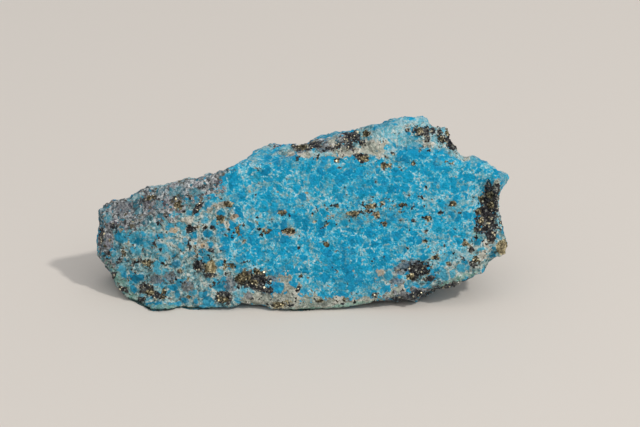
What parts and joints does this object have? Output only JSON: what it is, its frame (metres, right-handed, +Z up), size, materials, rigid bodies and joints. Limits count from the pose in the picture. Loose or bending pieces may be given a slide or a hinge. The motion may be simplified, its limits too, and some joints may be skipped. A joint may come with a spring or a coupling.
{
  "type": "rough lapis lazuli",
  "caption": "Rough broken chunk of granular blue lapis lazuli, a slab with a grey weathered shoulder, calcite seams and pyrite crystals, standing on its long edge.",
  "frame": {"origin": "middle of the bounding box, at the ground that the chunk stands on", "axes": "+X along the chunk, from its rounded grey end to its pointed end; +Y away from the broad blue face; +Z up"},
  "size_m": [0.0524, 0.0178, 0.0237],
  "materials": {
    "lapis_rock": "granular broken rock: bright cyan-blue grains in pale calcite, a grey weathered shoulder, matt with glints",
    "pyrite": "small metallic crystals, pale brassy, partly tarnished to brown and black"
  },
  "bodies": {
    "root": {"rough_lapis_lazuli": "lapis_rock"}
  },
  "joints": []
}
